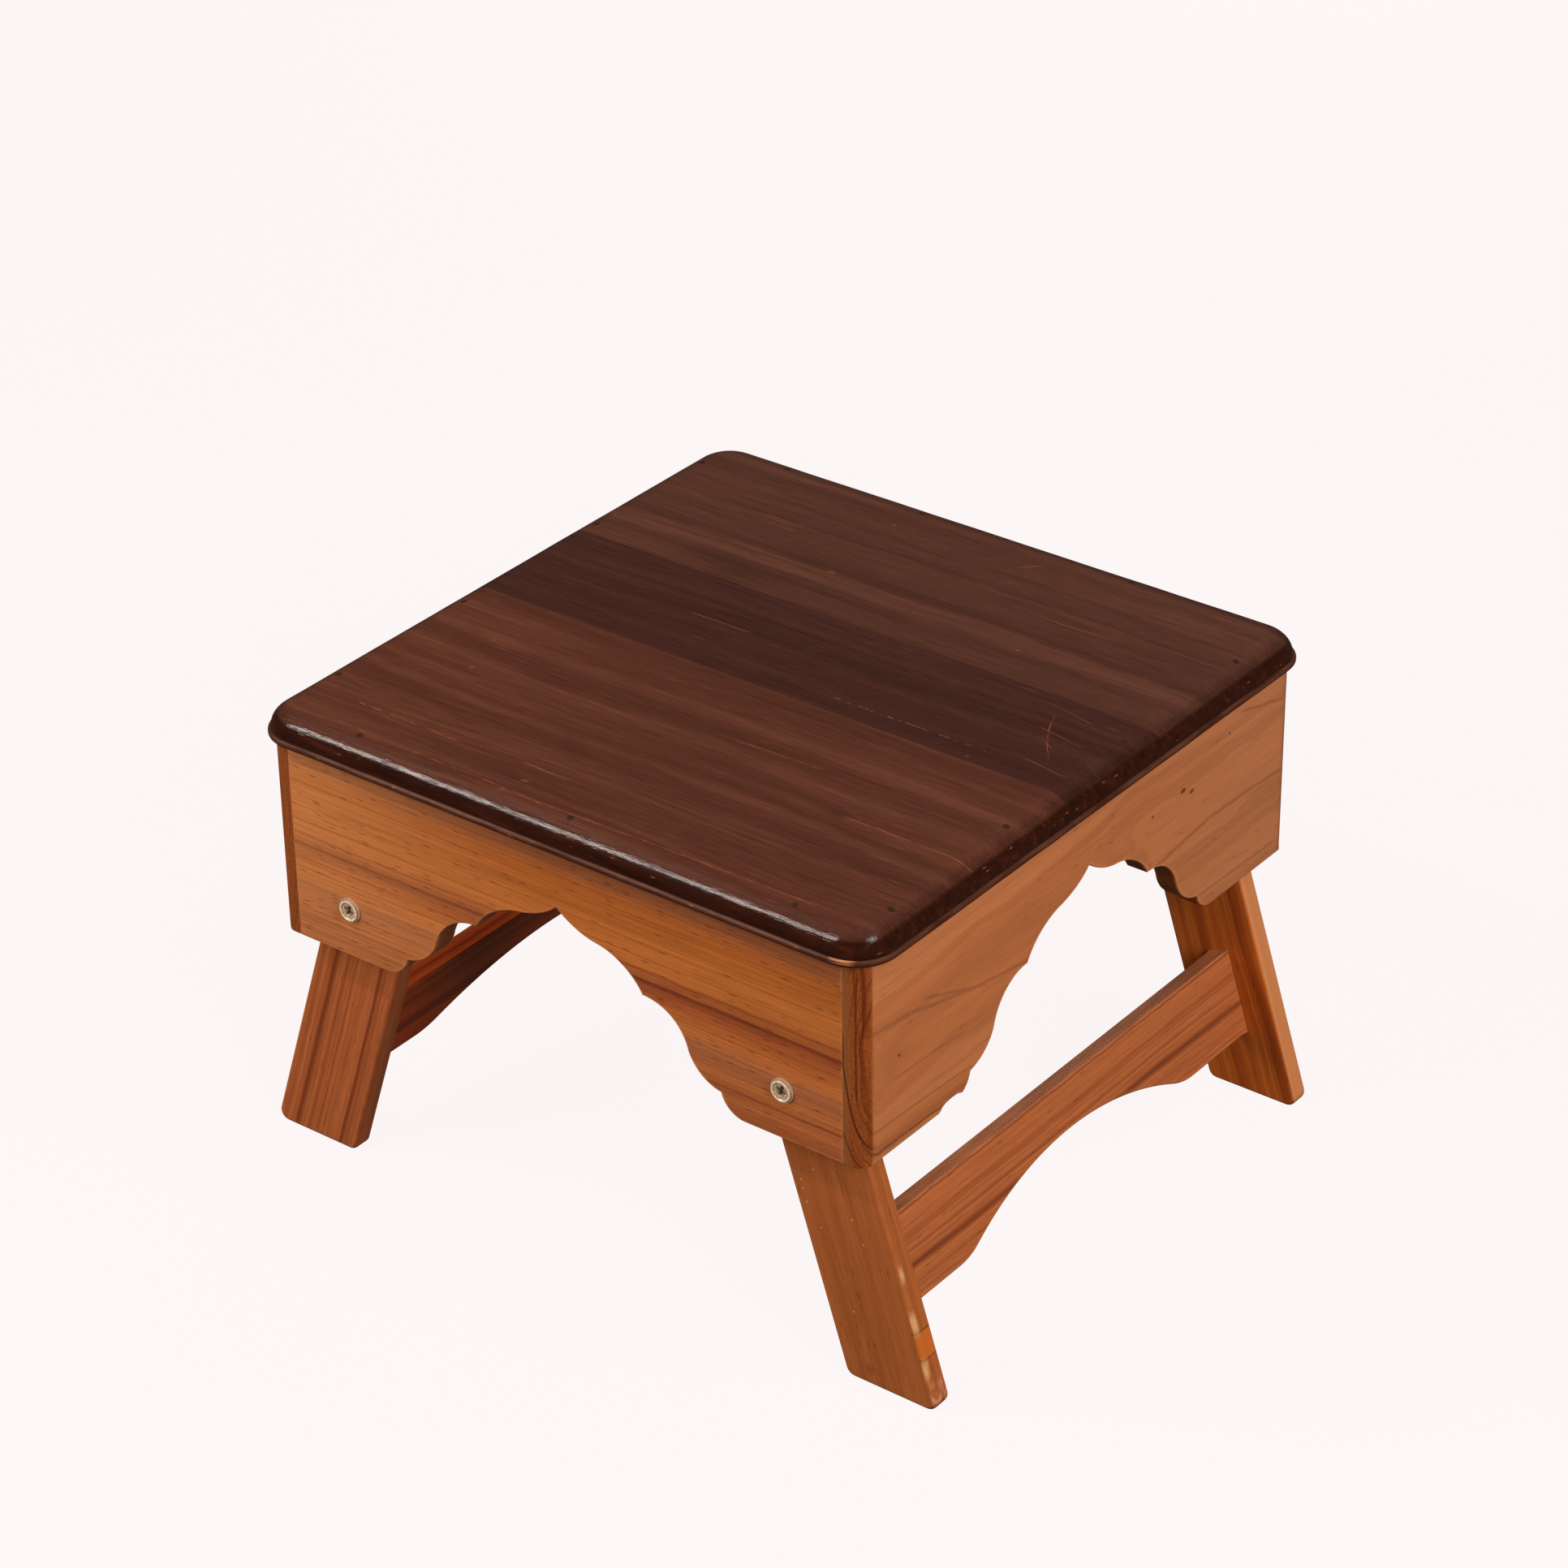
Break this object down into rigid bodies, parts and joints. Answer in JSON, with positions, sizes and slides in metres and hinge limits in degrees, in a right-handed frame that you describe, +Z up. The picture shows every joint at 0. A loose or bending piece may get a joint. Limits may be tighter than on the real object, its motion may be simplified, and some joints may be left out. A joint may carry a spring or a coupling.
{
  "type": "folding step stool",
  "caption": "Low square wooden folding stool: dark moulded top on a box of scalloped aprons, with splayed arched leg frames that fold inwards on pivot screws.",
  "frame": {"origin": "on the floor, under the middle of the square top", "axes": "+X along the front from left to right, across the fold axes; +Y from front to back, along the pivot screws; +Z up"},
  "size_m": [0.3476, 0.311, 0.2171],
  "materials": {
    "stained_top": "dark stained and French polished, worn",
    "teak_apron": "oiled teak, satin",
    "teak_end_apron": "oiled teak, matt",
    "teak_leg": "oiled teak, satin, striped grain",
    "nickel_screw": "nickel plated, dulled",
    "steel_pin": "dark, filled over"
  },
  "bodies": {
    "box": {"top_board_front": "stained_top", "top_board_middle": "stained_top", "top_board_back": "stained_top", "front_apron": "teak_apron", "back_apron": "teak_apron", "left_end_apron": "teak_end_apron", "right_end_apron": "teak_end_apron", "pivot_screws": "nickel_screw", "head_washers": "nickel_screw", "spacer_washers": "nickel_screw", "inner_washers": "nickel_screw", "lock_nuts": "nickel_screw", "top_pins": "steel_pin", "corner_pins": "steel_pin"},
    "left_frame": {"left_leg_front": "teak_leg", "left_leg_back": "teak_leg", "left_stretcher": "teak_leg"},
    "right_frame": {"right_leg_front": "teak_leg", "right_leg_back": "teak_leg", "right_stretcher": "teak_leg"}
  },
  "joints": [
    {"name": "left_fold", "type": "hinge", "parent": "box", "child": "left_frame", "pos_m": [-0.11075, 0, 0.135], "axis": [0, -1, 0], "range_deg": [0, 107.69]},
    {"name": "right_fold", "type": "hinge", "parent": "box", "child": "right_frame", "pos_m": [0.11075, 0, 0.135], "axis": [0, 1, 0], "range_deg": [0, 74]}
  ]
}
